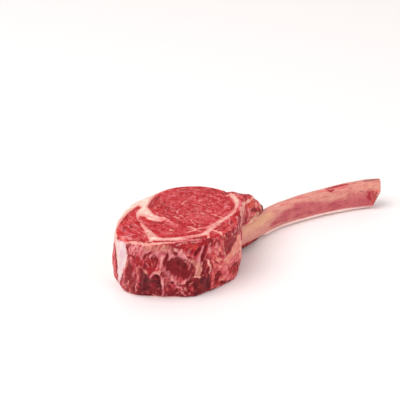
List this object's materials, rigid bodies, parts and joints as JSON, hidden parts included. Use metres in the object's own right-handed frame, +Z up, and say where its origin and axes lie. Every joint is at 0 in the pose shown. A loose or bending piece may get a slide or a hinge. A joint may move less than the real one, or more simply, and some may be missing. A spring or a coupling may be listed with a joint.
{
  "type": "raw tomahawk steak",
  "caption": "Thick raw rib-eye steak lying flat, with fat seams, a marbled eye muscle and a long scraped rib bone.",
  "frame": {"origin": "on the rest face, the lower cut face, under the middle of the eye muscle", "axes": "+X along the steak towards the free end of the rib bone, +Z up, square to the two cut faces"},
  "size_m": [0.3199, 0.1086, 0.0633],
  "materials": {
    "lean": "moist raw red meat, satin",
    "fat": "creamy pink fat, satin",
    "bone": "scraped moist bone, pinkish tan, satin"
  },
  "bodies": {
    "root": {"eye_muscle": "lean", "cap_muscle": "lean", "chine_meat": "lean", "rib_meat": "lean", "tail_meat": "lean", "seam_fat": "fat", "rib_bone": "bone"}
  },
  "joints": []
}
